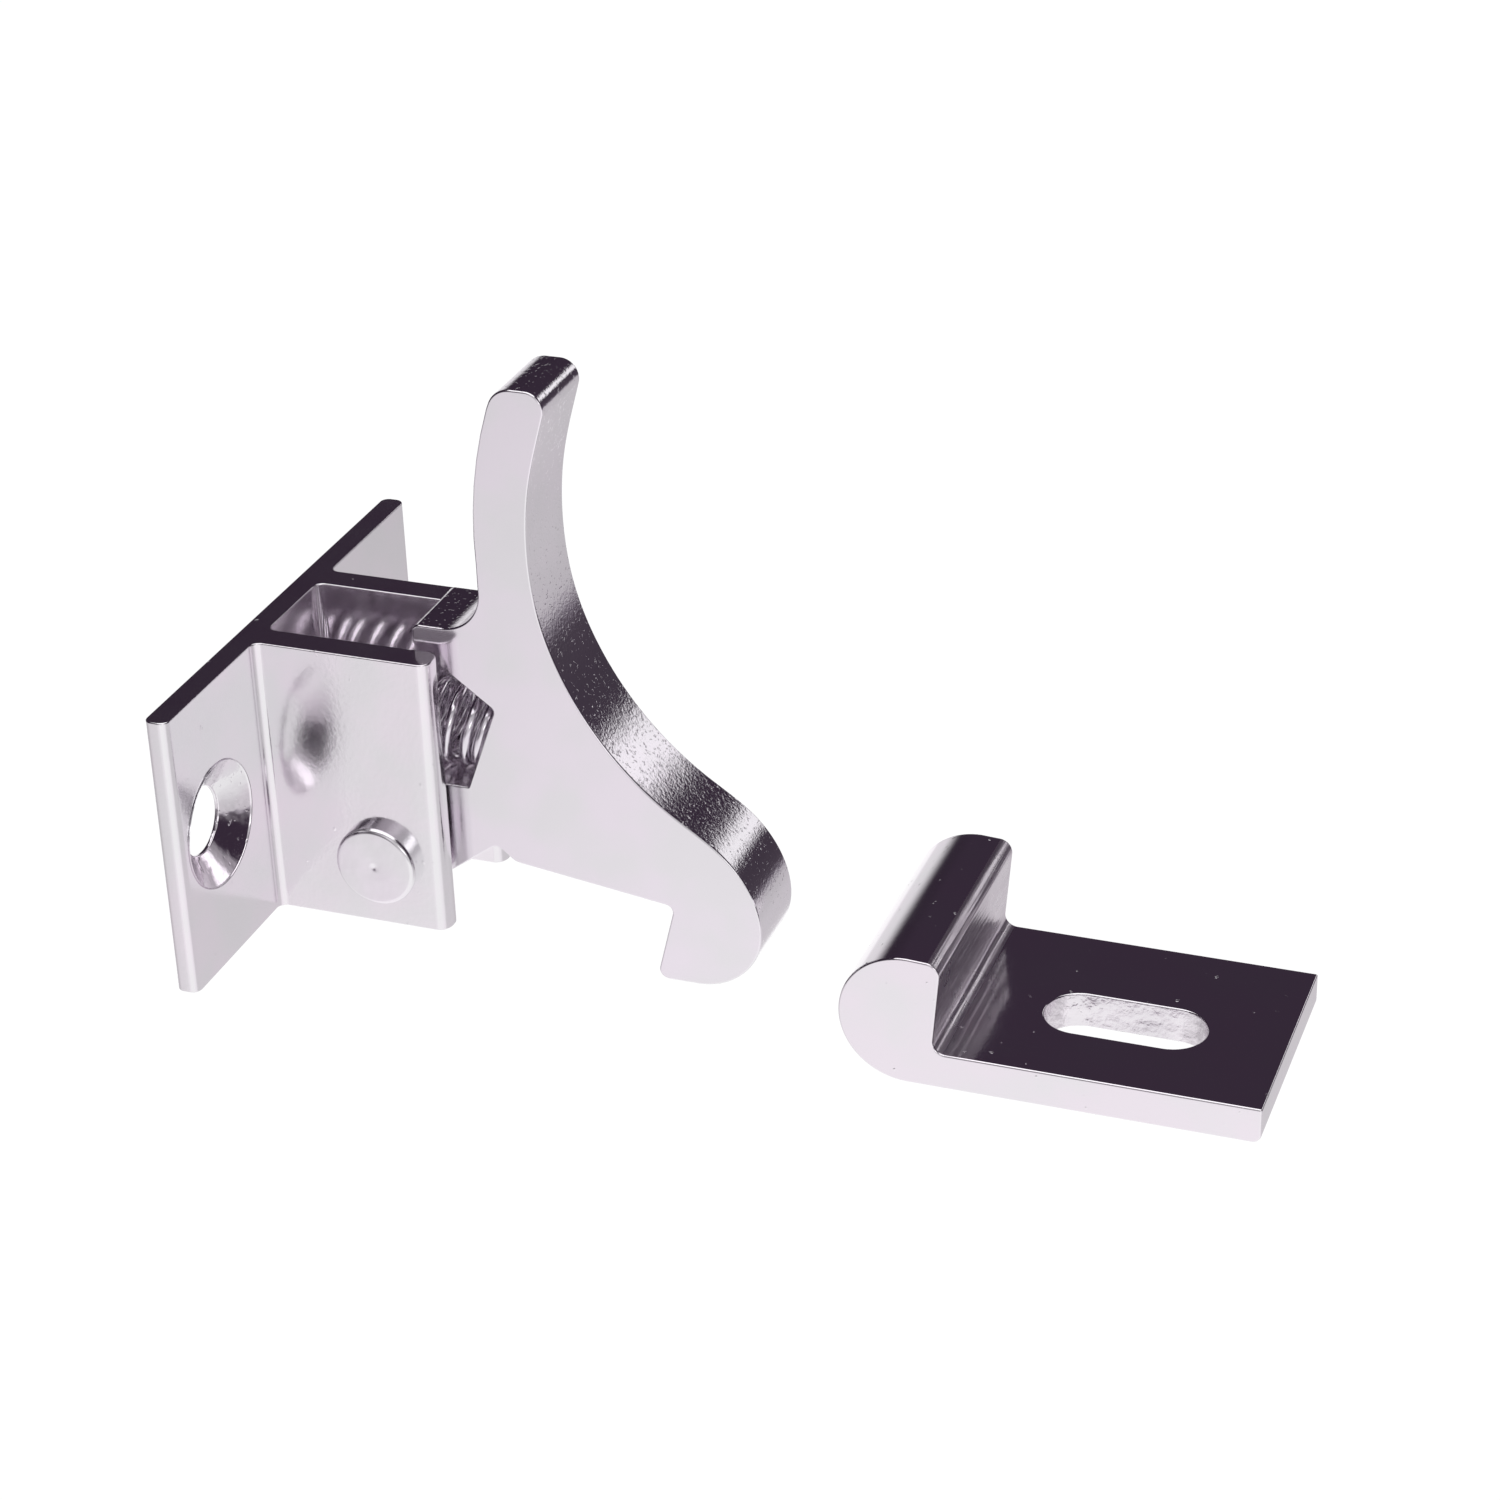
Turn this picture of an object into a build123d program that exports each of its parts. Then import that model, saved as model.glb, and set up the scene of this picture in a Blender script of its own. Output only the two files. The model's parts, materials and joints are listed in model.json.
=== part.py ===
from build123d import *
import math
import os

# Spring-loaded elbow catch and its strike, both sliced from metal extrusions and plated.
# Frame: origin at the centre of the mounting plate's back face, +X away from the face that the
# catch is screwed to, +Y along the pivot, +Z up towards the thumb tab.

# Base bracket: a slice of extrusion, cut to height
bracket_height = 19.05
plate_width = 34.0
plate_thickness = 1.6
plate_corner_radius = 0.6
ear_gap = 7.0
ear_thickness = 2.0
bracket_depth = 13.5
ear_end_radius = 0.85
ear_root_radius = 0.6

# Screw holes in the wings, countersunk for a No. 8 screw
screw_spacing = 24.0
screw_hole_radius = 2.2
countersink_radius = 4.1
countersink_angle = 110.0

# Pivot
pivot_forward = 9.15
pivot_height = -4.95
pin_radius = 2.0
pin_head_radius = 2.75
pin_head_thickness = 1.0
pin_head_edge_radius = 0.35
pin_rivet_radius = 2.5
pin_rivet_thickness = 0.7
running_clearance = 0.05

# Spring
spring_outer_radius = 2.8
spring_wire_radius = 0.375
spring_pitch = 1.35
spring_height = 2.9
spring_end = 14.45
spring_clearance = 0.02

# Lever: every outline point is given from the pivot axis, forward and up
lever_width = 5.8
lobe_radius = 3.4
lobe_side_angle = -54.0
heel_clearance = 0.05
heel_top = -1.6
heel_bottom = -3.4
tongue_back = -3.6
tongue_root = (tongue_back, 0.6)
tongue_top = (tongue_back, 4.8)
seat_bottom = (5.3, 4.8)
seat_top = (7.45, 10.6)
shelf_back = 2.2
shelf_underside = (shelf_back, 14.5)
shelf_edge = (shelf_back, 15.88)
shelf_root = (6.9, 15.88)
tab_back_bottom = (6.9, 20.6)
tab_back_middle = (7.2, 26.4)
tab_back_top = (8.3, 31.0)
tab_back_corner = (8.85, 32.4)
tab_front_corner = (12.4, 32.4)
tab_front_start = (11.93, 30.72)
tab_front_slope = (-0.28, -1)
front_curve = [
    (10.8, 26.4),
    (10.4, 21.8),
    (10.95, 17.1),
    (12.8, 12.3),
    (15.8, 8.0),
    (19.2, 4.95),
    (22.5, 2.5),
    (24.1, 0.3),
]
hook_radius = 4.45
hook_centre = (20.35, -2.6)
hook_point_forward = 17.6
throat = (18.97, -1.65)
underside_start = (8.2, -0.17)
lobe_top = (7.0, 0.85)

# Corner radii round the lever
tab_front_radius = 1.2
tab_back_radius = 1.6
shelf_root_radius = 2.7
shelf_edge_radius = 0.5
seat_top_radius = 0.4
tongue_top_radius = 1.6
tongue_root_radius = 1.2
heel_top_radius = 0.4
heel_bottom_radius = 0.6
lobe_top_radius = 0.5
underside_start_radius = 1.0
throat_radius = 0.5
hook_point_radius = 0.65

# Strike: its own outline runs from the undercut face of its rounded lip
strike_width = 15.9
strike_plate_thickness = 2.4
strike_length = 20.5
lip_radius = 4.4
lip_centre_back = 1.45
lip_overhang = 0.7
lip_fall = 0.12
lip_foot = 0.1
lip_corner_radius = 0.9
foot_radius = 0.8
strike_end_radius = 0.6
slot_length = 10.2
slot_width = 4.5
slot_forward = 10.4
slot_across = -0.9
strike_forward = 46.52
strike_drop = -13.14


def slab_across(outline, width):
    """Stand a flat outline up, forward and up, and give it a width centred on Y = 0."""
    return extrude(Plane.XZ * outline, amount=width / 2, both=True)


def nearest_corner(outline, place):
    """The corner of a flat outline that lies nearest to a place."""
    target = Vector(*place)
    return min(outline.vertices(), key=lambda vertex: (Vector(*vertex) - target).length)


def cap_ball_radius(radius, height):
    """Radius of the ball that has a cap of the given rim radius and height."""
    return (radius**2 + height**2) / (2 * height)


def make_bracket():
    """Plate with two ears, its screw holes and the pin hole."""
    outer_ear = ear_gap / 2 + ear_thickness
    plate_outline = Pos(plate_thickness / 2, 0) * Rectangle(plate_thickness, plate_width)
    plate_outline = fillet(plate_outline.vertices(), plate_corner_radius)
    ears = Sketch()
    for side in (-1, 1):
        middle = side * (ear_gap + ear_thickness) / 2
        ear = Pos(bracket_depth / 2, middle) * Rectangle(bracket_depth, ear_thickness)
        free_corners = ear.vertices().group_by(Axis.X)[-1]
        ears += fillet(free_corners, ear_end_radius)
    outline = plate_outline + ears
    roots = []
    for corner in outline.vertices():
        at_plate = abs(corner.X - plate_thickness) < 0.01
        at_ear = abs(corner.Y) < outer_ear + 0.01
        if at_plate and at_ear:
            roots.append(corner)
    outline = fillet(roots, ear_root_radius)
    bracket = extrude(outline, amount=bracket_height / 2, both=True)

    for side in (-1, 1):
        hole_place = Pos(plate_thickness, side * screw_spacing / 2, 0) * Rot(0, 90, 0)
        bracket -= hole_place * CounterSinkHole(
            screw_hole_radius, countersink_radius, 4 * plate_thickness, countersink_angle
        )

    pin_hole = Cylinder(pin_radius, 4 * ear_gap, rotation=(90, 0, 0))
    bracket -= Pos(pivot_forward, 0, pivot_height) * pin_hole
    return bracket


def lobe_point(angle):
    """A point on the round lobe about the pivot, at an angle in degrees above forward."""
    turn = math.radians(angle)
    return (lobe_radius * math.cos(turn), lobe_radius * math.sin(turn))


def make_lever_outline():
    """Closed outline of the lever, with its corners rounded."""
    hook_x, hook_z = hook_centre
    hook_slant = hook_radius * math.sqrt(0.5)
    hook_front = (hook_x + hook_radius, hook_z)
    hook_middle = (hook_x + hook_slant, hook_z - hook_slant)
    hook_bottom = (hook_x, hook_z - hook_radius)
    hook_point = (hook_point_forward, hook_z - hook_radius)
    lobe_bottom_angle = -90
    lobe_side = lobe_point(lobe_side_angle)
    lobe_middle = lobe_point((lobe_side_angle + lobe_bottom_angle) / 2)
    lobe_bottom = lobe_point(lobe_bottom_angle)
    heel_tip = -(pivot_forward - plate_thickness) + heel_clearance
    heel_lower = (heel_tip, heel_bottom)
    heel_upper = (heel_tip, heel_top)
    with BuildLine() as outline:
        Spline(
            tab_front_start,
            *front_curve,
            hook_front,
            tangents=(tab_front_slope, (0, -1)),
        )
        ThreePointArc(hook_front, hook_middle, hook_bottom)
        Polyline(hook_bottom, hook_point, throat, underside_start, lobe_top, lobe_side)
        ThreePointArc(lobe_side, lobe_middle, lobe_bottom)
        Polyline(lobe_bottom, heel_lower, heel_upper, tongue_root, tongue_top, seat_bottom)
        Polyline(seat_bottom, seat_top, shelf_underside, shelf_edge, shelf_root)
        Line(shelf_root, tab_back_bottom)
        ThreePointArc(tab_back_bottom, tab_back_middle, tab_back_top)
        Polyline(tab_back_top, tab_back_corner, tab_front_corner, tab_front_start)
    face = make_face(outline.line)
    corners = [
        (tab_front_corner, tab_front_radius),
        (tab_back_corner, tab_back_radius),
        (shelf_root, shelf_root_radius),
        (shelf_edge, shelf_edge_radius),
        (shelf_underside, shelf_edge_radius),
        (seat_top, seat_top_radius),
        (tongue_top, tongue_top_radius),
        (tongue_root, tongue_root_radius),
        (heel_upper, heel_top_radius),
        (heel_lower, heel_bottom_radius),
        (lobe_top, lobe_top_radius),
        (underside_start, underside_start_radius),
        (throat, throat_radius),
        (hook_point, hook_point_radius),
    ]
    for place, radius in corners:
        face = fillet(nearest_corner(face, place), radius)
    return face


def make_lever():
    """The lever's slab, bored for the pin and set on the pivot."""
    lever = slab_across(make_lever_outline(), lever_width)
    lever -= Cylinder(pin_radius + running_clearance, 2 * lever_width, rotation=(90, 0, 0))
    return Pos(pivot_forward, 0, pivot_height) * lever


def make_pin():
    """Headed pin through both ears, peened over at its far end."""
    outer_ear = ear_gap / 2 + ear_thickness
    shank = Cylinder(pin_radius, 2 * outer_ear, rotation=(90, 0, 0))
    head = Cylinder(pin_head_radius, pin_head_thickness, rotation=(90, 0, 0))
    head = Pos(0, -(outer_ear + pin_head_thickness / 2), 0) * head
    rim = head.edges().filter_by(GeomType.CIRCLE).sort_by(Axis.Y)[0]
    head = fillet(rim, pin_head_edge_radius)
    ball_radius = cap_ball_radius(pin_rivet_radius, pin_rivet_thickness)
    ball = Pos(0, outer_ear + pin_rivet_thickness - ball_radius, 0) * Sphere(ball_radius)
    beyond_ear = Pos(0, outer_ear + pin_rivet_thickness, 0) * Box(
        4 * pin_radius, 2 * pin_rivet_thickness, 4 * pin_radius
    )
    rivet = ball & beyond_ear
    return Pos(pivot_forward, 0, pivot_height) * (shank + head + rivet)


def make_spring():
    """Compression spring lying between the plate and the lever's notch."""
    coil_radius = spring_outer_radius - spring_wire_radius
    start = plate_thickness + spring_wire_radius + spring_clearance
    length = spring_end - spring_wire_radius - start
    path = Helix(spring_pitch, length, coil_radius)
    wire_end = Plane(origin=path @ 0, z_dir=path % 0)
    coil = sweep(wire_end * Circle(spring_wire_radius), path=path, is_frenet=True)
    return Pos(start, 0, spring_height) * Rot(0, 90, 0) * coil


def make_strike():
    """Plate with a rounded, undercut lip and an adjusting slot."""
    lip_bottom = (-lip_centre_back, 0)
    lip_back = (-lip_centre_back - lip_radius, lip_radius)
    lip_top = (-lip_centre_back, 2 * lip_radius)
    lip_corner = (lip_overhang, 2 * lip_radius - lip_fall)
    undercut_foot = (lip_foot, strike_plate_thickness)
    plate_end_top = (strike_length, strike_plate_thickness)
    plate_end_bottom = (strike_length, 0)
    with BuildLine() as outline:
        ThreePointArc(lip_bottom, lip_back, lip_top)
        Polyline(
            lip_top,
            lip_corner,
            undercut_foot,
            plate_end_top,
            plate_end_bottom,
            lip_bottom,
        )
    face = make_face(outline.line)
    face = fillet(nearest_corner(face, undercut_foot), foot_radius)
    face = fillet(nearest_corner(face, lip_corner), lip_corner_radius)
    face = fillet(nearest_corner(face, plate_end_bottom), strike_end_radius)
    strike = slab_across(face, strike_width)
    slot = SlotOverall(slot_length, slot_width)
    cutter = extrude(slot, amount=4 * strike_plate_thickness, both=True)
    strike -= Pos(slot_forward, slot_across, 0) * cutter
    return Pos(strike_forward, 0, strike_drop) * strike


pieces = {
    "base_bracket": make_bracket(),
    "latch_lever": make_lever(),
    "pivot_pin": make_pin(),
    "return_spring": make_spring(),
    "strike": make_strike(),
}

os.makedirs("parts", exist_ok=True)
for name, piece in pieces.items():
    export_step(piece, f"parts/{name}.step")
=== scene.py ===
import json
import math
from collections import namedtuple

import bmesh
import bpy
import numpy as np
from mathutils import Euler, Matrix, Vector


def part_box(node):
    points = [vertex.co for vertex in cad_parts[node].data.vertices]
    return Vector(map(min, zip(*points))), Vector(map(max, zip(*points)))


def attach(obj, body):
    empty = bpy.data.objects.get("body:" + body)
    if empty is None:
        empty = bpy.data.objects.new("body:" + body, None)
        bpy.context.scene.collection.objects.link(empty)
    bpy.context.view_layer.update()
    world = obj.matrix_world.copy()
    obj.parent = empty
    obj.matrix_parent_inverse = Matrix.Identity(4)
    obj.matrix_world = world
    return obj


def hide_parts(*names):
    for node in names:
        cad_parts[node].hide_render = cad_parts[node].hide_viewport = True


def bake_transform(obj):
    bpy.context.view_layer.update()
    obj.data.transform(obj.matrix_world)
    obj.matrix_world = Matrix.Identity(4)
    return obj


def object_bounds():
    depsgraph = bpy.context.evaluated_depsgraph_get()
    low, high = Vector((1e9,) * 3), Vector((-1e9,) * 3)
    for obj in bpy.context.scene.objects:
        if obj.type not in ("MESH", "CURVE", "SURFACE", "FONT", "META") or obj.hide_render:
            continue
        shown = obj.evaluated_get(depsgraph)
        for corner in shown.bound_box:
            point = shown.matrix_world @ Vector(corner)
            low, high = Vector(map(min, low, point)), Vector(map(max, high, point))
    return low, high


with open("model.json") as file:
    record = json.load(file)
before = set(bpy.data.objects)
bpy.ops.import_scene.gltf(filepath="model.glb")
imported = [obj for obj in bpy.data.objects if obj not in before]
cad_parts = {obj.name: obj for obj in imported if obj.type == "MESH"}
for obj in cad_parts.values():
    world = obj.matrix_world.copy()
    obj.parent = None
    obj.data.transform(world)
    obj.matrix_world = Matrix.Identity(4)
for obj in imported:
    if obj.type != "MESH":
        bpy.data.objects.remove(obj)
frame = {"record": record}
cad_low, cad_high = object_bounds()

# ---------------------------------------------------------------- the view
# A long lens from the front and right, looking down on the catch, with a slight roll. The
# catch stands upright in the air beside its strike, as the two are held when they are fitted.
MM = 0.001
LENS_MM = 83.94
NEAREST_SEEN = 0.01
# The camera's angles in degrees: round the catch, down onto it, and its roll
YAW = 20.78
PITCH = 28.27
ROLL = -1.86
AIM_OFFSET = Vector((-1.02, 0.0, -3.28)) * MM
DISTANCE = 216.3 * MM
GLOSSY_BOUNCES = 10

turn = Euler((math.radians(90 - PITCH), 0, math.radians(YAW))).to_matrix()
turn = turn @ Matrix.Rotation(math.radians(ROLL), 3, "Z")
aim = (cad_low + cad_high) / 2 + AIM_OFFSET
camera = bpy.data.objects.new("camera", bpy.data.cameras.new("camera"))
bpy.context.scene.collection.objects.link(camera)
camera.data.lens = LENS_MM
camera.data.clip_start = NEAREST_SEEN
camera.matrix_world = Matrix.LocRotScale(aim + turn @ Vector((0, 0, DISTANCE)), turn, None)
bpy.context.scene.camera = camera
bpy.context.scene.view_settings.view_transform = "Standard"
# Light is mirrored many times between the bright ears before it finds its way out again
bpy.context.scene.cycles.glossy_bounces = GLOSSY_BOUNCES


# ---------------------------------------------------------------- the studio
# White paper on the table, which fills the lower half of what the plating mirrors, and a dim
# room above it, with pale patches on its walls. A large soft box hangs overhead, a smaller one
# stands at the front right, and a low strip glows behind the right.
def linear(hex_colour):
    """An sRGB hex colour as linear red, green and blue, with an alpha of 1."""
    channels = [int(hex_colour[i : i + 2], 16) / 255 for i in (1, 3, 5)]
    curve = [c / 12.92 if c <= 0.04045 else ((c + 0.055) / 1.055) ** 2.4 for c in channels]
    return (*curve, 1.0)


def add_node(tree, kind, settings=None, links=None):
    """Adds a node. Its settings are properties, and its links are values or other sockets."""
    node = tree.nodes.new(kind)
    for key, value in (settings or {}).items():
        setattr(node, key, value)
    for key, value in (links or {}).items():
        if isinstance(value, bpy.types.NodeSocket):
            tree.links.new(value, node.inputs[key])
        else:
            node.inputs[key].default_value = value
    return node


# How bright the surroundings are at each height: the sine of the elevation, and a grey
PAPER = "#FFFFFF"
ROOM = "#3A2F3D"
BRIGHTNESS_BY_HEIGHT = [
    (-0.80, "#FFFFFF"),
    (-0.66, "#F2F0F2"),
    (-0.57, "#E6E3E6"),
    (-0.42, "#D8D5D8"),
    (-0.34, "#D0CDD0"),
    (-0.235, "#C8C4C8"),
    (-0.19, "#877F8A"),
    (-0.14, "#443A46"),
    (0.05, ROOM),
]
# Soft patches of light on the paper and walls: azimuth (0 behind, 90 right), elevation, the
# angles at which each one starts to fade and is gone, and its brightness. A negative one darkens.
PATCHES = {
    "paper_sweep_back_left": (326, -20, 21, 36, 0.8),
    "shaded_paper_behind": (4, -32, 4, 24, -0.12),
    "wall_below_strip": (28, -2, 8, 20, 0.018),
    "paper_front": (200, -38, 20, 62, 0.25),
    "paper_front_right": (148, -32, 14, 38, 0.25),
    "pale_card_right": (120, -10, 10, 25, 0.18),
    "pale_wall_front_right": (150, 12, 24, 44, 0.5),
    "pale_wall_front": (185, 32, 8, 26, 0.4),
}
# The far left is in shade: the X of a direction where the shade is full, where it ends, and how
# much light is left in it
LEFT_SHADE = (-0.50, -0.30, 0.80)
# White paper is the brightest thing around, where the patches overlap too
BRIGHTEST = (1.08, 1.08, 1.08)

world = bpy.data.worlds.new("studio")
world.use_nodes = True
bpy.context.scene.world = world
sky = world.node_tree
sky.nodes.clear()
direction = add_node(sky, "ShaderNodeTexCoord").outputs["Generated"]
parts = add_node(sky, "ShaderNodeSeparateXYZ", links={"Vector": direction})
height = add_node(
    sky,
    "ShaderNodeMapRange",
    links={"Value": parts.outputs["Z"], "From Min": -1.0, "From Max": 1.0},
)
gradient = add_node(sky, "ShaderNodeValToRGB", links={"Fac": height.outputs["Result"]})
stops = gradient.color_ramp.elements
while len(stops) < len(BRIGHTNESS_BY_HEIGHT):
    stops.new(0.5)  # the loop below moves it to its place
for stop, (sine, grey) in zip(stops, BRIGHTNESS_BY_HEIGHT):
    stop.position = (sine + 1) / 2
    stop.color = linear(grey)
shade = add_node(
    sky,
    "ShaderNodeMapRange",
    {"interpolation_type": "SMOOTHSTEP"},
    {
        "Value": parts.outputs["X"],
        "From Min": LEFT_SHADE[0],
        "From Max": LEFT_SHADE[1],
        "To Min": LEFT_SHADE[2],
        "To Max": 1.0,
    },
)
light_so_far = add_node(
    sky,
    "ShaderNodeVectorMath",
    {"operation": "SCALE"},
    {0: gradient.outputs["Color"], "Scale": shade.outputs["Result"]},
).outputs[0]


def toward(azimuth, elevation):
    """The direction of a place in the studio. Azimuth 0 is behind the catch, 90 to its right."""
    a, e = math.radians(azimuth), math.radians(elevation)
    return Vector((math.sin(a) * math.cos(e), math.cos(a) * math.cos(e), math.sin(e)))


for azimuth, elevation, full, faded, glow in PATCHES.values():
    nearness = add_node(
        sky,
        "ShaderNodeVectorMath",
        {"operation": "DOT_PRODUCT"},
        {0: direction, 1: toward(azimuth, elevation)},
    )
    patch = add_node(
        sky,
        "ShaderNodeMapRange",
        {"interpolation_type": "SMOOTHSTEP"},
        {
            "Value": nearness.outputs["Value"],
            "From Min": math.cos(math.radians(faded)),
            "From Max": math.cos(math.radians(full)),
            "To Max": glow,
        },
    )
    light_so_far = add_node(
        sky,
        "ShaderNodeVectorMath",
        {"operation": "ADD"},
        {0: light_so_far, 1: patch.outputs["Result"]},
    ).outputs[0]
capped = add_node(
    sky, "ShaderNodeVectorMath", {"operation": "MINIMUM"}, {0: light_so_far, 1: BRIGHTEST}
).outputs[0]
# Behind the catch there is plain white paper, and the rest is only there to be mirrored
ray = add_node(sky, "ShaderNodeLightPath")
mirrored = add_node(sky, "ShaderNodeBackground", links={"Color": capped})
seen = add_node(sky, "ShaderNodeBackground", links={"Color": linear(PAPER)})
shown = add_node(
    sky,
    "ShaderNodeMixShader",
    links={0: ray.outputs["Is Camera Ray"], 1: mirrored.outputs[0], 2: seen.outputs[0]},
)
add_node(sky, "ShaderNodeOutputWorld", links={"Surface": shown.outputs[0]})

# The paper glows by itself, so that no shadow greys it, and its own shade is dark, so that the
# lamps add little. The plating doesn't mirror it, but the sky's lower half, shaded by height.
FLOOR_HALF = 6.0
PAPER_SHADE = "#3A3A3A"
PAPER_ROUGHNESS = 0.9
PAPER_GLOW = 1.0
floor_mesh = bpy.data.meshes.new("paper_floor")
floor_corners = [(-1, -1), (1, -1), (1, 1), (-1, 1)]
floor_mesh.from_pydata(
    [(x * FLOOR_HALF, y * FLOOR_HALF, cad_low.z) for x, y in floor_corners], [], [(0, 1, 2, 3)]
)
paper = bpy.data.materials.new("white_backdrop_paper")
paper.use_nodes = True
paper_shader = paper.node_tree.nodes["Principled BSDF"]
paper_shader.inputs["Base Color"].default_value = linear(PAPER_SHADE)
paper_shader.inputs["Roughness"].default_value = PAPER_ROUGHNESS
paper_shader.inputs["Emission Color"].default_value = linear(PAPER)
paper_shader.inputs["Emission Strength"].default_value = PAPER_GLOW
floor_mesh.materials.append(paper)
floor = bpy.data.objects.new("paper_floor", floor_mesh)
bpy.context.scene.collection.objects.link(floor)
floor.visible_glossy = False

# Lamps aimed at the catch: azimuth, elevation, distance, width and depth in metres, and how
# bright the face is, with white paper as 1
LAMPS = {
    "soft_box_overhead": (180, 84, 0.7, 0.8, 0.8, 1.5),
    "soft_box_front_right": (146, 13, 0.8, 0.36, 0.2, 1.4),
    "strip_behind": (27, 18.3, 0.9, 0.62, 0.175, 1.05),
}
for name, (azimuth, elevation, distance, width, depth, glow) in LAMPS.items():
    light = bpy.data.lights.new(name, "AREA")
    light.shape = "RECTANGLE"
    light.size = width
    light.size_y = depth
    light.energy = math.pi * width * depth * glow
    away = toward(azimuth, elevation)
    lamp = bpy.data.objects.new(name, light)
    bpy.context.scene.collection.objects.link(lamp)
    lamp.location = aim + away * distance
    lamp.rotation_euler = away.to_track_quat("Z", "Y").to_euler()
    lamp.visible_camera = False


# ---------------------------------------------------------------- base_bracket
# A slice of drawn metal channel with two wings, sawn to height, drilled and countersunk for two
# screws, its ears pierced for the pin, then tumbled and nickel plated.
def rounded(corners):
    """A closed outline from corners (x, y, radius): every radius above 0 becomes an arc."""
    step_angle, fewest_steps = math.radians(6), 4
    points = []
    for index, (x, y, radius) in enumerate(corners):
        here = Vector((x, y))
        if radius == 0:
            points.append(here)
            continue
        before = (Vector(corners[index - 1][:2]) - here).normalized()
        after = (Vector(corners[(index + 1) % len(corners)][:2]) - here).normalized()
        half = before.angle(after) / 2
        centre = here + (before + after).normalized() * radius / math.sin(half)
        start = here + before * radius / math.tan(half) - centre
        end = here + after * radius / math.tan(half) - centre
        sweep = start.angle_signed(end)
        steps = max(fewest_steps, math.ceil(abs(sweep) / step_angle))
        for step in range(steps + 1):
            points.append(centre + Matrix.Rotation(-sweep * step / steps, 2) @ start)
    return points


def slab(name, outline, low, high, stand_up=False):
    """A flat outline given thickness along Z, or stood up with its thickness along Y."""
    mesh = bpy.data.meshes.new(name)
    work = bmesh.new()
    lower = [work.verts.new((p.x, p.y, low)) for p in outline]
    upper = [work.verts.new((p.x, p.y, high)) for p in outline]
    work.faces.new(lower)
    work.faces.new(upper)
    for i in range(len(outline)):
        work.faces.new((lower[i - 1], lower[i], upper[i], upper[i - 1]))
    if stand_up:
        upright = Matrix.Rotation(math.radians(90), 4, "X")
        bmesh.ops.transform(work, matrix=upright, verts=work.verts)
    bmesh.ops.scale(work, vec=(MM, MM, MM), verts=work.verts)
    bmesh.ops.recalc_face_normals(work, faces=work.faces)
    work.to_mesh(mesh)
    work.free()
    piece = bpy.data.objects.new(name, mesh)
    bpy.context.scene.collection.objects.link(piece)
    return piece


def turned(name, profile, place):
    """A solid turned about X from a profile of (along, radius), given in millimetres."""
    facets = 96
    mesh = bpy.data.meshes.new(name)
    work = bmesh.new()
    rings = []
    for along, radius in profile:
        if radius == 0:
            rings.append([work.verts.new((along, 0, 0))])
            continue
        angles = [2 * math.pi * i / facets for i in range(facets)]
        rings.append(
            [work.verts.new((along, radius * math.cos(a), radius * math.sin(a))) for a in angles]
        )
    for near, far in zip(rings, rings[1:]):
        for i in range(facets):
            corners = [near[i % len(near)], near[(i + 1) % len(near)]]
            corners += [far[(i + 1) % len(far)], far[i % len(far)]]
            work.faces.new(list(dict.fromkeys(corners)))
    bmesh.ops.transform(work, matrix=place, verts=work.verts)
    bmesh.ops.scale(work, vec=(MM, MM, MM), verts=work.verts)
    bmesh.ops.recalc_face_normals(work, faces=work.faces)
    work.to_mesh(mesh)
    work.free()
    piece = bpy.data.objects.new(name, mesh)
    bpy.context.scene.collection.objects.link(piece)
    return piece


def settle(piece):
    """Applies the modifiers, so that the piece is a plain mesh."""
    evaluated = piece.evaluated_get(bpy.context.evaluated_depsgraph_get())
    final = bpy.data.meshes.new_from_object(evaluated)
    piece.modifiers.clear()
    piece.data = final


def cut(piece, *cutters):
    """Takes the cutters' shapes out of the piece, and throws the cutters away."""
    for cutter in cutters:
        saw = piece.modifiers.new("cut", "BOOLEAN")
        saw.solver = "EXACT"
        saw.object = cutter
    settle(piece)
    for cutter in cutters:
        bpy.data.objects.remove(cutter)


def tumble(piece, width):
    """Breaks the sharp edges by a small round, as tumbling in stones does."""
    sharp_angle = math.radians(28)
    for polygon in piece.data.polygons:
        polygon.use_smooth = True
    worn = piece.modifiers.new("worn_edges", "BEVEL")
    worn.width = width * MM
    worn.segments = 3
    worn.limit_method = "ANGLE"
    worn.angle_limit = sharp_angle
    worn.use_clamp_overlap = False
    worn.harden_normals = True
    settle(piece)


# A metal drawn or extruded through a die has waves that run along the way it came out, so their
# pattern is stretched that way: these scale it along X, Y and Z
EVEN = (1, 1, 1)
DRAWN_Z = (1, 1, 0.2)
# Waves or grain under the plating: how large, how high, and how much finer detail they hold
Relief = namedtuple("Relief", "size rise detail stretch", defaults=(EVEN,))
# Tiny pits: how large, how deep, and how rare from 0 to 1. All sizes are in millimetres.
Specks = namedtuple("Specks", "size depth rarity")


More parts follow.
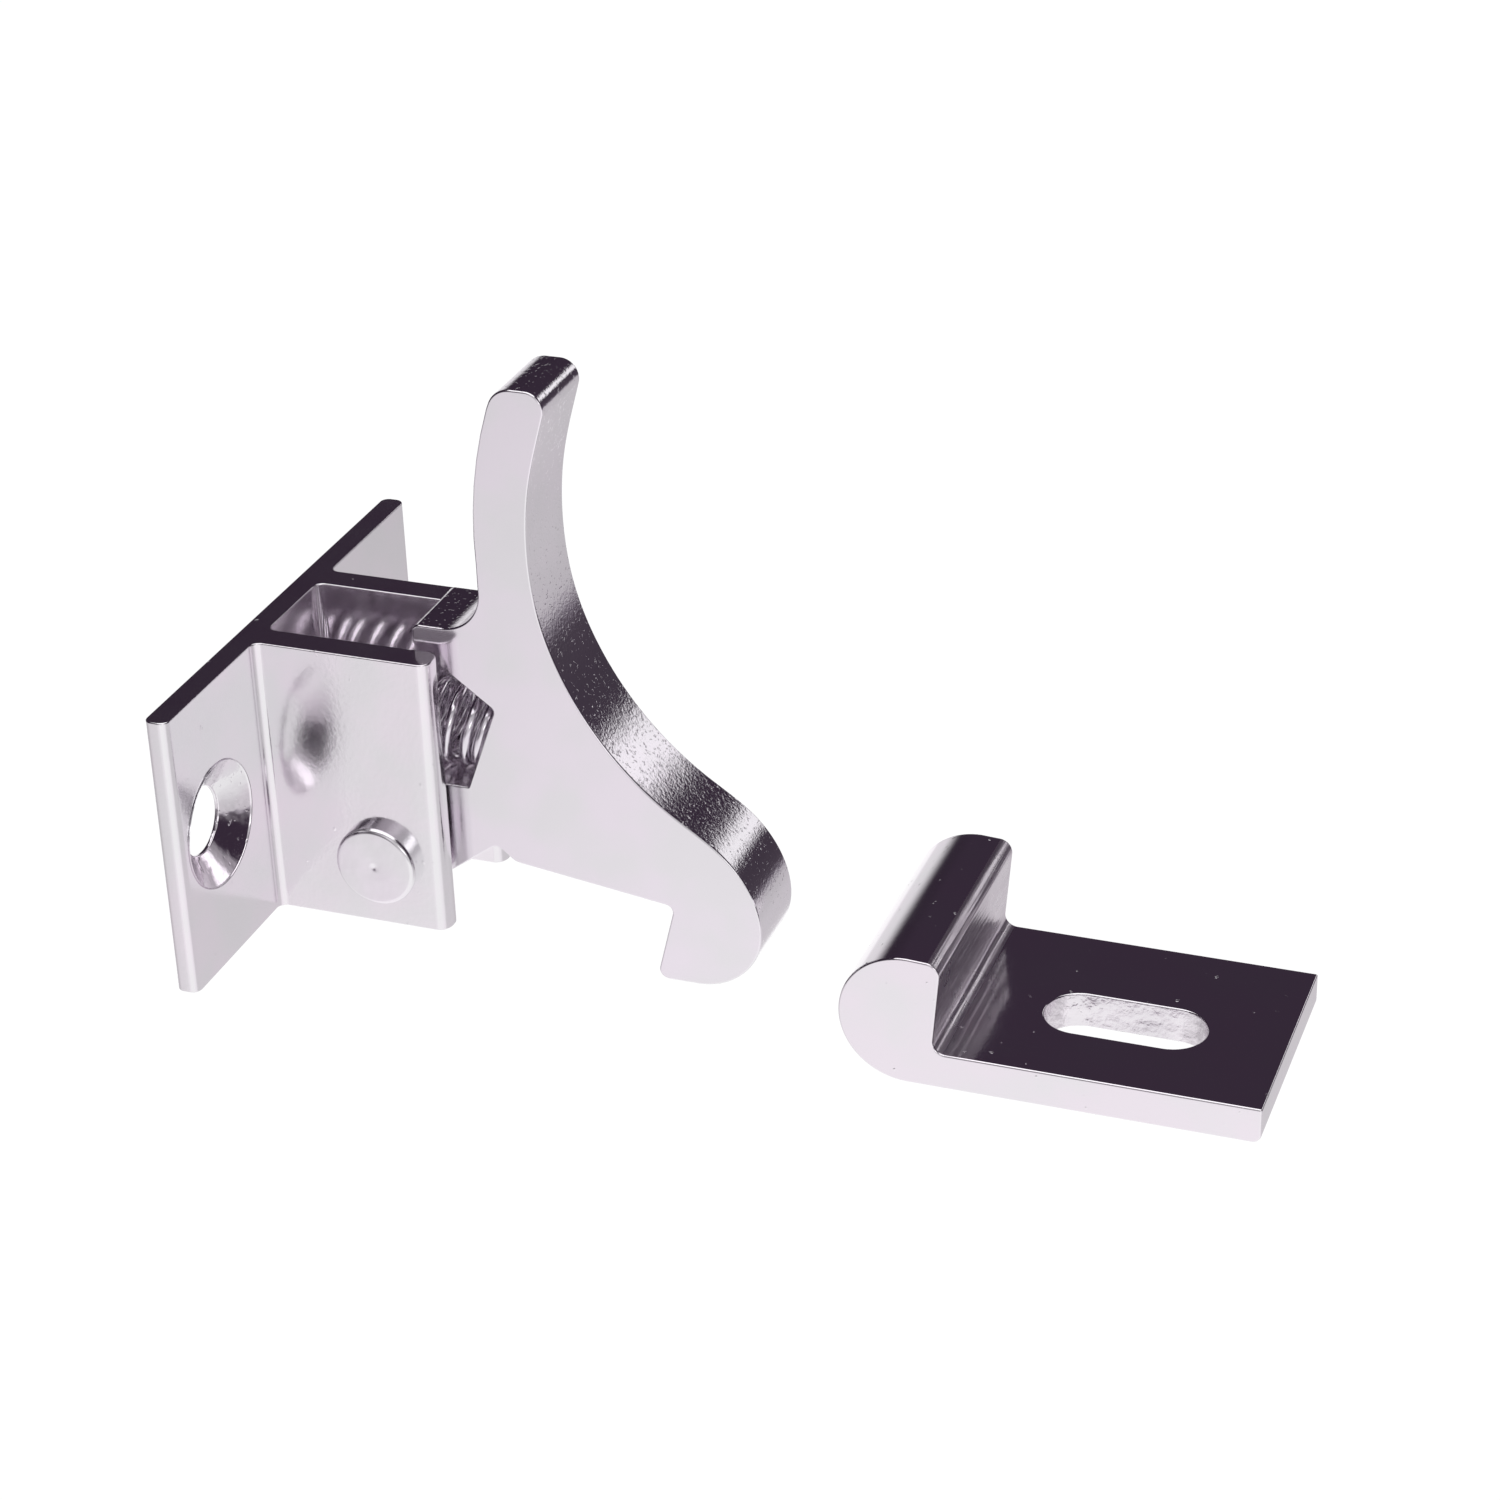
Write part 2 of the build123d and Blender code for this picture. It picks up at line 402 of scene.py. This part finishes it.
def nickel(name, tints, roughness, reliefs, specks=None):
    """Bright nickel plate: a tight mirror that drifts between two tints and two degrees of haze,
    over its reliefs and specks."""
    drift_size, drift_detail = 5 * MM, 3.0
    tint_fade, haze_fade = (0.4, 0.6), (0.3, 0.7)
    speck_detail, speck_edge = 1.0, 0.1
    material = bpy.data.materials.new(name)
    material.use_nodes = True
    tree = material.node_tree
    shader = tree.nodes["Principled BSDF"]
    place = add_node(tree, "ShaderNodeTexCoord").outputs["Object"]
    drift = add_node(
        tree,
        "ShaderNodeTexNoise",
        links={"Vector": place, "Scale": 1 / drift_size, "Detail": drift_detail},
    )
    tint = add_node(tree, "ShaderNodeValToRGB", links={"Fac": drift.outputs["Fac"]})
    for stop, position, colour in zip(tint.color_ramp.elements, tint_fade, tints):
        stop.position = position
        stop.color = linear(colour)
    haze = add_node(
        tree,
        "ShaderNodeMapRange",
        links={
            "Value": drift.outputs["Fac"],
            "From Min": haze_fade[0],
            "From Max": haze_fade[1],
            "To Min": roughness[0],
            "To Max": roughness[1],
        },
    )
    heights = []
    for waves in reliefs:
        drawn = add_node(
            tree, "ShaderNodeVectorMath", {"operation": "MULTIPLY"}, {0: place, 1: waves.stretch}
        )
        bumps = add_node(
            tree,
            "ShaderNodeTexNoise",
            links={
                "Vector": drawn.outputs[0],
                "Scale": 1 / (waves.size * MM),
                "Detail": waves.detail,
            },
        )
        heights.append((bumps.outputs["Fac"], waves.rise))
    if specks:
        grit = add_node(
            tree,
            "ShaderNodeTexNoise",
            links={"Vector": place, "Scale": 1 / (specks.size * MM), "Detail": speck_detail},
        )
        pit = add_node(
            tree,
            "ShaderNodeMapRange",
            {"interpolation_type": "SMOOTHSTEP"},
            {
                "Value": grit.outputs["Fac"],
                "From Min": specks.rarity,
                "From Max": specks.rarity + speck_edge,
            },
        )
        heights.append((pit.outputs["Result"], specks.depth))
    normal = None
    for surface, rise in heights:
        relief = add_node(
            tree,
            "ShaderNodeBump",
            links={"Height": surface, "Distance": rise * MM, "Strength": 1.0},
        )
        if normal:
            tree.links.new(normal, relief.inputs["Normal"])
        normal = relief.outputs["Normal"]
    shader.inputs["Metallic"].default_value = 1.0
    tree.links.new(tint.outputs["Color"], shader.inputs["Base Color"])
    tree.links.new(haze.outputs["Result"], shader.inputs["Roughness"])
    tree.links.new(normal, shader.inputs["Normal"])
    return material


bracket_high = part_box("base_bracket")[1]
PLATE_HALF = bracket_high.y / MM
BRACKET_HALF = bracket_high.z / MM
BRACKET_DEPTH = bracket_high.x / MM
PLATE_THICK = 1.6
PLATE_CORNER = 0.6
# The ears: how far out their inner and outer sides are, the round of their front ends, and the
# fillet at their roots
EAR_IN = 3.5
EAR_OUT = 5.5
EAR_END = 0.85
EAR_ROOT = 0.6
# The screw holes: how far each is from the middle, and the countersink with its half angle
SCREW_ACROSS = 12.0
SCREW_RADIUS = 2.2
SINK_RADIUS = 4.1
SINK_HALF_ANGLE = 55
SINK_DEPTH = (SINK_RADIUS - SCREW_RADIUS) / math.tan(math.radians(SINK_HALF_ANGLE))
PIVOT = Vector(frame["record"]["behaviour"]["joints"][0]["pos_m"]) / MM
PIN_RADIUS = 2.0
# How far a drill runs past the metal, and half the length of the drills across the catch
OVERRUN = 1
CROSS_DRILL_HALF = 8
BRACKET_WEAR = 0.1

plan = rounded(
    [
        (0, -PLATE_HALF, PLATE_CORNER),
        (PLATE_THICK, -PLATE_HALF, PLATE_CORNER),
        (PLATE_THICK, -EAR_OUT, EAR_ROOT),
        (BRACKET_DEPTH, -EAR_OUT, EAR_END),
        (BRACKET_DEPTH, -EAR_IN, EAR_END),
        (PLATE_THICK, -EAR_IN, EAR_ROOT),
        (PLATE_THICK, EAR_IN, EAR_ROOT),
        (BRACKET_DEPTH, EAR_IN, EAR_END),
        (BRACKET_DEPTH, EAR_OUT, EAR_END),
        (PLATE_THICK, EAR_OUT, EAR_ROOT),
        (PLATE_THICK, PLATE_HALF, PLATE_CORNER),
        (0, PLATE_HALF, PLATE_CORNER),
    ]
)
bracket = slab("base_bracket_plated", plan, -BRACKET_HALF, BRACKET_HALF)
screw_profile = [
    (-OVERRUN, 0),
    (-OVERRUN, SCREW_RADIUS),
    (PLATE_THICK - SINK_DEPTH, SCREW_RADIUS),
    (PLATE_THICK, SINK_RADIUS),
    (PLATE_THICK + OVERRUN, SINK_RADIUS),
    (PLATE_THICK + OVERRUN, 0),
]
along_y = Matrix.Rotation(math.radians(90), 4, "Z")


def cross_drill(name, radius):
    """A drill through the whole catch along the pivot."""
    ends = (-CROSS_DRILL_HALF, CROSS_DRILL_HALF)
    profile = [(ends[0], 0), (ends[0], radius), (ends[1], radius), (ends[1], 0)]
    return turned(name, profile, Matrix.Translation(PIVOT) @ along_y)


cutters = [cross_drill("pin_hole", PIN_RADIUS)]
for side in (-1, 1):
    hole = Matrix.Translation((0, side * SCREW_ACROSS, 0))
    cutters.append(turned("screw_hole", screw_profile, hole))
cut(bracket, *cutters)
tumble(bracket, BRACKET_WEAR)

# Bright nickel over drawn metal. The channel was drawn along Z, so the mirror wavers in long
# waves that way. A fine grain and a few pinholes break up what it mirrors.
NICKEL_TINTS = ("#E9E3E9", "#E6E4E7")
channel_nickel = nickel(
    "bright_nickel_on_drawn_channel",
    tints=NICKEL_TINTS,
    roughness=(0.12, 0.18),
    reliefs=[
        Relief(size=2.5, rise=0.008, detail=1.0, stretch=DRAWN_Z),
        Relief(size=0.3, rise=0.006, detail=3.0),
    ],
    specks=Specks(size=0.7, depth=0.02, rarity=0.74),
)
# The drill chatters as it cuts the countersink, so its cone shows broken bright and dark glints
drilled_nickel = nickel(
    "bright_nickel_in_countersink",
    tints=NICKEL_TINTS,
    roughness=(0.08, 0.14),
    reliefs=[Relief(size=1.3, rise=0.06, detail=2.0)],
    specks=Specks(size=0.3, depth=0.01, rarity=0.66),
)
# Between the ears and in the notch the plating is painted paler, a painted brightening that stands
# in for light the recess hardly gets. Its mirror wavers a little.
inside_nickel_painted_paler = nickel(
    "nickel_inside_painted_paler",
    tints=("#F2EDF2", "#ECE8EC"),
    roughness=(0.12, 0.18),
    reliefs=[Relief(size=1.2, rise=0.012, detail=3.0)],
)
for material in (channel_nickel, drilled_nickel, inside_nickel_painted_paler):
    bracket.data.materials.append(material)
# Which face gets which plating: how far a wall's normal leans at most towards a sawn end, how far
# the countersink's leans towards the plate's front, and a hair's breadth in millimetres
WALL_LEAN = 0.5
SINK_LEAN = 0.95
HAIR = 0.01
for polygon in bracket.data.polygons:
    middle = polygon.center / MM
    between_ears = abs(middle.y) < EAR_IN + HAIR and middle.x > PLATE_THICK - HAIR
    # The walls between the ears get the paler tint, a painted brightening of that recess
    if between_ears and abs(polygon.normal.z) < WALL_LEAN:
        polygon.material_index = 2
    from_screw = Vector((abs(middle.y) - SCREW_ACROSS, middle.z)).length
    if from_screw < SINK_RADIUS and abs(polygon.normal.x) < SINK_LEAN:
        polygon.material_index = 1
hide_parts("base_bracket")
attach(bracket, "catch_bracket")


# ---------------------------------------------------------------- latch_lever
# The thumb lever and hook, sliced from an extruded bar and bored for the pin. Tumbling has rounded
# its rims, and the band that the die left is grainier under the nickel than the two sawn faces.
def arc(centre, radius, start, end):
    """Points of an arc as outline corners, its angles in degrees, anticlockwise from forward."""
    step_angle, fewest_steps = 4, 2
    steps = max(fewest_steps, math.ceil(abs(end - start) / step_angle))
    angles = [math.radians(start + (end - start) * i / steps) for i in range(steps + 1)]
    return [
        (centre[0] + radius * math.cos(a), centre[1] + radius * math.sin(a), 0) for a in angles
    ]


def arc_through(first, middle, last):
    """Outline corners on the arc through three points."""
    a, b, c = (complex(*p) for p in (first, middle, last))
    ratio = (c - a) / (b - a)
    centre = a + (b - a) * (ratio - abs(ratio) ** 2) / (ratio - ratio.conjugate())
    radius = abs(a - centre)
    start = math.degrees(math.atan2((a - centre).imag, (a - centre).real))
    end = math.degrees(math.atan2((c - centre).imag, (c - centre).real))
    end = start + (end - start + 180) % 360 - 180
    return arc((centre.real, centre.imag), radius, start, end)


def flowing(points, first_slope, last_slope):
    """Outline corners on the smooth curve through points, its bend continuous all the way."""
    steps = 12
    knots = np.array(points, float)
    spans = np.linalg.norm(np.diff(knots, axis=0), axis=1)
    count = len(knots)
    matrix = np.eye(count)
    slopes = np.zeros((count, 2))
    slopes[0] = np.array(first_slope) / np.linalg.norm(first_slope)
    slopes[-1] = np.array(last_slope) / np.linalg.norm(last_slope)
    for i in range(1, count - 1):
        left, right = spans[i - 1], spans[i]
        matrix[i, i - 1 : i + 2] = right, 2 * (left + right), left
        rise_left = (knots[i] - knots[i - 1]) / left
        rise_right = (knots[i + 1] - knots[i]) / right
        slopes[i] = 3 * (right * rise_left + left * rise_right)
    slopes = np.linalg.solve(matrix, slopes)
    curve = []
    for i, span in enumerate(spans):
        for t in np.arange(steps) / steps:
            start = (1 + 2 * t) * (1 - t) ** 2 * knots[i] + t * (1 - t) ** 2 * span * slopes[i]
            end = t * t * (3 - 2 * t) * knots[i + 1] - t * t * (1 - t) * span * slopes[i + 1]
            curve.append((*(start + end), 0))
    curve.append((*knots[-1], 0))
    return curve


LEVER_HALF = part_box("latch_lever")[1].y / MM
LOBE_RADIUS = 3.4
LOBE_SIDE = -54  # the angle at which the arm's lower edge runs onto the lobe
HEEL_GAP = 0.05
HEEL_TIP = PLATE_THICK - PIVOT.x + HEEL_GAP
HOOK_CENTRE = (20.35, -2.6)
HOOK_RADIUS = 4.45
BORE_RADIUS = 2.05
LEVER_WEAR = 0.13
# The lever's side view, forward and up from the pivot. The front edge runs from the thumb tab
# down to the nose of the hook in one sweep.
FRONT = [
    (11.93, 30.72),
    (10.8, 26.4),
    (10.4, 21.8),
    (10.95, 17.1),
    (12.8, 12.3),
    (15.8, 8.0),
    (19.2, 4.95),
    (22.5, 2.5),
    (24.1, 0.3),
    (24.8, -2.6),
]
FRONT_LEAN = (-0.28, -1)
NOSE_LEAN = (0, -1)
lever_outline = rounded(
    [
        *flowing(FRONT, FRONT_LEAN, NOSE_LEAN)[:-1],
        *arc(HOOK_CENTRE, HOOK_RADIUS, 0, -90),
        (17.6, -7.05, 0.65),  # tip of the hook
        (18.97, -1.65, 0.5),  # throat
        (8.2, -0.17, 1.0),  # underside of the arm, in front of the ears
        (7.0, 0.85, 0.5),
        *arc((0, 0), LOBE_RADIUS, LOBE_SIDE, -90),
        (HEEL_TIP, -3.4, 0.6),  # heel that rests on the plate
        (HEEL_TIP, -1.6, 0.4),
        (-3.6, 0.6, 1.2),  # tongue below the spring
        (-3.6, 4.8, 1.6),
        (5.3, 4.8, 0.15),  # slanted seat of the spring
        (7.45, 10.6, 0.4),
        (2.2, 14.5, 0.5),  # shelf over the spring
        (2.2, 15.88, 0.5),
        (6.9, 15.88, 2.7),
        *arc_through((6.9, 20.6), (7.2, 26.4), (8.3, 31.0)),  # back of the thumb tab
        (8.85, 32.4, 1.6),  # its end
        (12.4, 32.4, 1.2),
    ]
)
lever_outline = [p + PIVOT.xz for p in lever_outline]
lever = slab("latch_lever_plated", lever_outline, -LEVER_HALF, LEVER_HALF, stand_up=True)
cut(lever, cross_drill("bore", BORE_RADIUS))
tumble(lever, LEVER_WEAR)

# The sawn faces were dressed flat before they were plated: an even, pale, slightly soft mirror
face_nickel = nickel(
    "bright_nickel_on_sawn_face",
    tints=("#E9E3EA", "#E6E4E7"),
    roughness=(0.12, 0.18),
    reliefs=[
        Relief(size=4.0, rise=0.01, detail=1.0),
        Relief(size=0.4, rise=0.002, detail=4.0),
    ],
)
# The bar was extruded along Y. The die's lines and grain under the nickel make a bright band
# that sparkles, with specks, and they ripple the line where light meets dark. Grain of less
# than 0.2 mm wouldn't show, so it is drawn no finer.
DRAWN_Y = (1, 0.08, 1)
band_nickel = nickel(
    "nickel_over_die_grain",
    tints=("#E8E3E9", "#E4E1E5"),
    roughness=(0.06, 0.11),
    reliefs=[
        Relief(size=0.6, rise=0.004, detail=2.0, stretch=DRAWN_Y),
        Relief(size=1.3, rise=0.006, detail=1.0),
        Relief(size=0.2, rise=0.011, detail=4.0),
    ],
    specks=Specks(size=0.26, depth=0.008, rarity=0.63),
)
for material in (face_nickel, band_nickel, inside_nickel_painted_paler):
    lever.data.materials.append(material)
# The notch that holds the spring is behind and below these, and outside the lobe
NOTCH_FRONT = 7.5
NOTCH_TOP = 14.6
for polygon in lever.data.polygons:
    middle = polygon.center.xz / MM - PIVOT.xz
    in_notch = middle.x < NOTCH_FRONT and middle.y < NOTCH_TOP and middle.length > LOBE_RADIUS
    # The notch's walls get the paler tint, a painted brightening of that recess, and the rest of
    # the band gets the grain
    if abs(polygon.normal.y) < WALL_LEAN:
        polygon.material_index = 2 if in_notch else 1
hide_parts("latch_lever")
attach(lever, "lever")

# ---------------------------------------------------------------- pivot_pin
# A headed steel pin, cold formed, pressed through both ears with the lever turning on its shank,
# and peened over on the far side. Its head keeps a small centre mark.
HEAD_RADIUS = 2.75
HEAD_THICK = 1.0
HEAD_EDGE = 0.35
RIVET_RADIUS = 2.5
RIVET_RISE = 0.7
RIVET_BALL = (RIVET_RADIUS**2 + RIVET_RISE**2) / (2 * RIVET_RISE)
# The centre mark, as depths and radii, and the radii of rings that keep the flat face even
CENTRE_MARK = [(0.06, 0), (0.05, 0.1), (0.01, 0.2)]
FACE_RINGS = (0.4, 1.2, 2.0)
CREASE = 35  # degrees, above which an edge of the pin stays crisp

head_front = -EAR_OUT - HEAD_THICK
head_profile = [(head_front + depth, radius) for depth, radius in CENTRE_MARK]
head_profile += [(head_front, radius) for radius in FACE_RINGS]
for x, y, _ in arc((HEAD_RADIUS - HEAD_EDGE, HEAD_EDGE), HEAD_EDGE, -90, 0):
    head_profile.append((head_front + y, x))
head_profile += [(-EAR_OUT, HEAD_RADIUS), (-EAR_OUT, PIN_RADIUS), (EAR_OUT, PIN_RADIUS)]
rim_angle = math.degrees(math.asin(RIVET_RADIUS / RIVET_BALL))
for x, y, _ in arc((EAR_OUT + RIVET_RISE - RIVET_BALL, 0), RIVET_BALL, rim_angle, 0)[:-1]:
    head_profile.append((x, y))
head_profile.append((EAR_OUT + RIVET_RISE, 0))
pin = turned("pivot_pin_plated", head_profile, Matrix.Translation(PIVOT) @ along_y)
for polygon in pin.data.polygons:
    polygon.use_smooth = True
pin.data.set_sharp_from_angle(angle=math.radians(CREASE))
# The head was struck cold and is not quite flat, so its mirror is soft and a little mottled
pin_nickel = nickel(
    "bright_nickel_on_headed_pin",
    tints=("#EAE4EB", "#E7E5E8"),
    roughness=(0.13, 0.2),
    reliefs=[
        Relief(size=1.6, rise=0.03, detail=2.0),
        Relief(size=0.25, rise=0.003, detail=4.0),
    ],
)
pin.data.materials.append(pin_nickel)
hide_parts("pivot_pin")
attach(pin, "catch_bracket")

# ---------------------------------------------------------------- return_spring
# A compression spring of plated steel wire, closed at both ends, lying between the plate and the
# slanted seat in the lever. Its coils fan out, so that the last one lies flat on that seat.
WIRE_RADIUS = 0.375 * MM
COIL_RADIUS = 2.425 * MM
PITCH_OPEN = 1.35 * MM
PITCH_CLOSED = 0.78 * MM
TURNS = 10.7
CLOSED_TURNS = 1.0  # at each end
LEAN = math.radians(20.3)  # of the last coil, to match the seat
WIRE_STEPS = 560
WIRE_FACETS = 16
# In millimetres: how far the wire starts in front of the plate, and how high
SPRING_GAP = 0.4
SPRING_HEIGHT = 2.9
SPRING_START = Vector((PLATE_THICK + SPRING_GAP, 0, SPRING_HEIGHT)) * MM

# Drawn wire under a thin plate: a duller mirror than the rest, darker where the tint drifts. Its
# draw lines are too fine to show, and are drawn as a coarser grain.
spring_wire = nickel(
    "plated_spring_wire",
    tints=("#ECE7ED", "#DFDAE1"),
    roughness=(0.14, 0.22),
    reliefs=[
        Relief(size=0.8, rise=0.006, detail=1.0),
        Relief(size=0.12, rise=0.001, detail=3.0),
    ],
)
tree = bpy.data.node_groups.new("closed_coil_spring", "GeometryNodeTree")
sizes = {
    "Coil Radius": COIL_RADIUS,
    "Wire Radius": WIRE_RADIUS,
    "Turns": TURNS,
    "Open Pitch": PITCH_OPEN,
    "Closed Pitch": PITCH_CLOSED,
    "Lean": LEAN,
}
for label in sizes:
    tree.interface.new_socket(label, in_out="INPUT", socket_type="NodeSocketFloat")
tree.interface.new_socket("Start", in_out="INPUT", socket_type="NodeSocketVector")
tree.interface.new_socket("Geometry", in_out="OUTPUT", socket_type="NodeSocketGeometry")
given = add_node(tree, "NodeGroupInput").outputs
line = add_node(tree, "GeometryNodeCurvePrimitiveLine", links={"End": (1, 0, 0)})
wire_path = add_node(
    tree,
    "GeometryNodeResampleCurve",
    links={"Curve": line.outputs["Curve"], "Count": WIRE_STEPS},
)
# How far along the wire a point is, as a share, in turns and as an angle
share = add_node(tree, "GeometryNodeSplineParameter").outputs["Factor"]
turns_so_far = add_node(
    tree, "ShaderNodeMath", {"operation": "MULTIPLY"}, {0: share, 1: given["Turns"]}
).outputs[0]
angle = add_node(
    tree, "ShaderNodeMath", {"operation": "MULTIPLY"}, {0: turns_so_far, 1: 2 * math.pi}
).outputs[0]
sine = add_node(tree, "ShaderNodeMath", {"operation": "SINE"}, {0: angle}).outputs[0]
cosine = add_node(tree, "ShaderNodeMath", {"operation": "COSINE"}, {0: angle}).outputs[0]
# The coils rise by the closed pitch all along, and by the rest only between the closed ends
closed_rise = add_node(
    tree, "ShaderNodeMath", {"operation": "MULTIPLY"}, {0: turns_so_far, 1: given["Closed Pitch"]}
).outputs[0]
open_turns = add_node(
    tree, "ShaderNodeMath", {"operation": "SUBTRACT"}, {0: turns_so_far, 1: CLOSED_TURNS}
).outputs[0]
most_open = add_node(
    tree,
    "ShaderNodeMath",
    {"operation": "SUBTRACT"},
    {0: given["Turns"], 1: 2 * CLOSED_TURNS},
).outputs[0]
open_turns = add_node(
    tree, "ShaderNodeClamp", links={"Value": open_turns, "Min": 0.0, "Max": most_open}
).outputs[0]
extra_pitch = add_node(
    tree,
    "ShaderNodeMath",
    {"operation": "SUBTRACT"},
    {0: given["Open Pitch"], 1: given["Closed Pitch"]},
).outputs[0]
along = add_node(
    tree,
    "ShaderNodeMath",
    {"operation": "MULTIPLY_ADD"},
    {0: open_turns, 1: extra_pitch, 2: closed_rise},
).outputs[0]
# Each coil leans a little more than the one before it
lean = add_node(
    tree, "ShaderNodeMath", {"operation": "MULTIPLY"}, {0: share, 1: given["Lean"]}
).outputs[0]
lean_sine = add_node(tree, "ShaderNodeMath", {"operation": "SINE"}, {0: lean}).outputs[0]
lean_cosine = add_node(tree, "ShaderNodeMath", {"operation": "COSINE"}, {0: lean}).outputs[0]
up = add_node(
    tree, "ShaderNodeMath", {"operation": "MULTIPLY"}, {0: sine, 1: given["Coil Radius"]}
).outputs[0]
across = add_node(
    tree, "ShaderNodeMath", {"operation": "MULTIPLY"}, {0: cosine, 1: given["Coil Radius"]}
).outputs[0]
forward = add_node(
    tree, "ShaderNodeMath", {"operation": "MULTIPLY_ADD"}, {0: up, 1: lean_sine, 2: along}
).outputs[0]
up = add_node(
    tree, "ShaderNodeMath", {"operation": "MULTIPLY"}, {0: up, 1: lean_cosine}
).outputs[0]
on_coil = add_node(
    tree, "ShaderNodeCombineXYZ", links={"X": forward, "Y": across, "Z": up}
).outputs[0]
placed = add_node(
    tree, "ShaderNodeVectorMath", {"operation": "ADD"}, {0: on_coil, 1: given["Start"]}
).outputs[0]
coiled = add_node(
    tree,
    "GeometryNodeSetPosition",
    links={"Geometry": wire_path.outputs["Curve"], "Position": placed},
).outputs[0]
section = add_node(
    tree,
    "GeometryNodeCurvePrimitiveCircle",
    links={"Resolution": WIRE_FACETS, "Radius": given["Wire Radius"]},
).outputs["Curve"]
drawn = add_node(
    tree,
    "GeometryNodeCurveToMesh",
    links={"Curve": coiled, "Profile Curve": section, "Fill Caps": True},
).outputs[0]
smooth = add_node(tree, "GeometryNodeSetShadeSmooth", links={"Geometry": drawn}).outputs[0]
solid = add_node(tree, "GeometryNodeRealizeInstances", links={"Geometry": smooth}).outputs[0]
plated = add_node(
    tree, "GeometryNodeSetMaterial", links={"Geometry": solid, "Material": spring_wire}
).outputs[0]
add_node(tree, "NodeGroupOutput", links={"Geometry": plated})

spring = bpy.data.objects.new("return_spring_coiled", bpy.data.meshes.new("return_spring_coiled"))
bpy.context.scene.collection.objects.link(spring)
winder = spring.modifiers.new("winder", "NODES")
winder.node_group = tree
for item in tree.interface.items_tree:
    if item.in_out == "INPUT":
        winder[item.identifier] = sizes.get(item.name, SPRING_START)
settle(spring)
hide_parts("return_spring")
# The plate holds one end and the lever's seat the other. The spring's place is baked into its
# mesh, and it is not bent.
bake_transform(spring)

# ---------------------------------------------------------------- strike
# A slice of extruded bar: a flat foot with a slot for its screw, and a round lip with an undercut
# face that the hook drops behind. Sawn, slotted, tumbled and nickel plated.
strike_low, strike_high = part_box("strike")
LIP_RADIUS = 4.4
LIP_BACK = 1.45
LIP_CORNER = (0.7, 8.68)
FOOT_THICK = 2.4
FOOT_LENGTH = 20.5
STRIKE_HALF = strike_high.y / MM
SLOT_LONG = 10.2
SLOT_WIDE = 4.5
SLOT_PLACE = (10.4, -0.9)
STRIKE_WEAR = 0.13

# The side view is measured from the underside of the foot, below the corner under the lip
strike_zero = Vector((strike_high.x / MM - FOOT_LENGTH, strike_low.z / MM))
strike_outline = rounded(
    [
        *arc((-LIP_BACK, LIP_RADIUS), LIP_RADIUS, 90, 270),
        (FOOT_LENGTH, 0, 0.6),  # end of the foot
        (FOOT_LENGTH, FOOT_THICK, 0),
        (0.1, FOOT_THICK, 0.8),  # corner under the lip
        (*LIP_CORNER, 0.9),
    ]
)
strike_outline = [p + strike_zero for p in strike_outline]
strike = slab("strike_plated", strike_outline, -STRIKE_HALF, STRIKE_HALF, stand_up=True)
slot_half = SLOT_LONG / 2 - SLOT_WIDE / 2
slot_x, slot_y = strike_zero.x + SLOT_PLACE[0], SLOT_PLACE[1]
slot_ends = arc((slot_x + slot_half, slot_y), SLOT_WIDE / 2, -90, 90)
slot_ends += arc((slot_x - slot_half, slot_y), SLOT_WIDE / 2, 90, 270)
slot_outline = [Vector((x, y)) for x, y, _ in slot_ends]
floor_mm = strike_low.z / MM
slot_cutter = slab("slot", slot_outline, floor_mm - OVERRUN, floor_mm + FOOT_THICK + OVERRUN)
cut(strike, slot_cutter)
tumble(strike, STRIKE_WEAR)

# The clearest plating of all: a dark, calm mirror of the room, with a few dust-like pits
strike_nickel = nickel(
    "bright_nickel_on_strike",
    tints=NICKEL_TINTS,
    roughness=(0.08, 0.13),
    reliefs=[
        Relief(size=4.0, rise=0.006, detail=1.0, stretch=DRAWN_Y),
        Relief(size=0.3, rise=0.002, detail=4.0),
    ],
    specks=Specks(size=0.5, depth=0.02, rarity=0.72),
)
# The die drags in the corner under the lip, and leaves it hazy with long lines along Y
DRAGGED_Y = (1, 0.03, 1)
undercut_nickel = nickel(
    "nickel_over_die_lines",
    tints=("#E9E3E9", "#D8D0D8"),
    roughness=(0.24, 0.34),
    reliefs=[
        Relief(size=0.55, rise=0.11, detail=3.0, stretch=DRAGGED_Y),
        Relief(size=0.25, rise=0.008, detail=4.0),
    ],
)
# The punch tears the slot's wall, and the plating shines over the torn grain
punched_nickel = nickel(
    "nickel_over_punched_wall",
    tints=("#EDE8ED", "#E2DEE3"),
    roughness=(0.15, 0.25),
    reliefs=[Relief(size=0.9, rise=0.2, detail=3.0)],
)
for material in (strike_nickel, undercut_nickel, punched_nickel):
    strike.data.materials.append(material)
# The undercut faces forward and lies between these, measured ahead of the corner under the lip.
# The slot's wall faces sideways and lies in the slot, give or take the margin.
UNDERCUT_BACK = -0.5
UNDERCUT_FRONT = 2
UNDERCUT_LEAN = 0.2
SLOT_MARGIN = 0.1
SLOT_LEAN = 0.7
for polygon in strike.data.polygons:
    middle = polygon.center / MM
    ahead = middle.x - strike_zero.x
    faces_forward = abs(polygon.normal.y) < WALL_LEAN and UNDERCUT_LEAN < polygon.normal.x < 1
    if faces_forward and UNDERCUT_BACK < ahead < UNDERCUT_FRONT:
        polygon.material_index = 1
    inside = abs(ahead - SLOT_PLACE[0]) < SLOT_LONG / 2 + SLOT_MARGIN
    inside = inside and abs(middle.y - SLOT_PLACE[1]) < SLOT_WIDE / 2 + SLOT_MARGIN
    if inside and abs(polygon.normal.z) < SLOT_LEAN:
        polygon.material_index = 2
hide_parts("strike")
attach(strike, "strike")
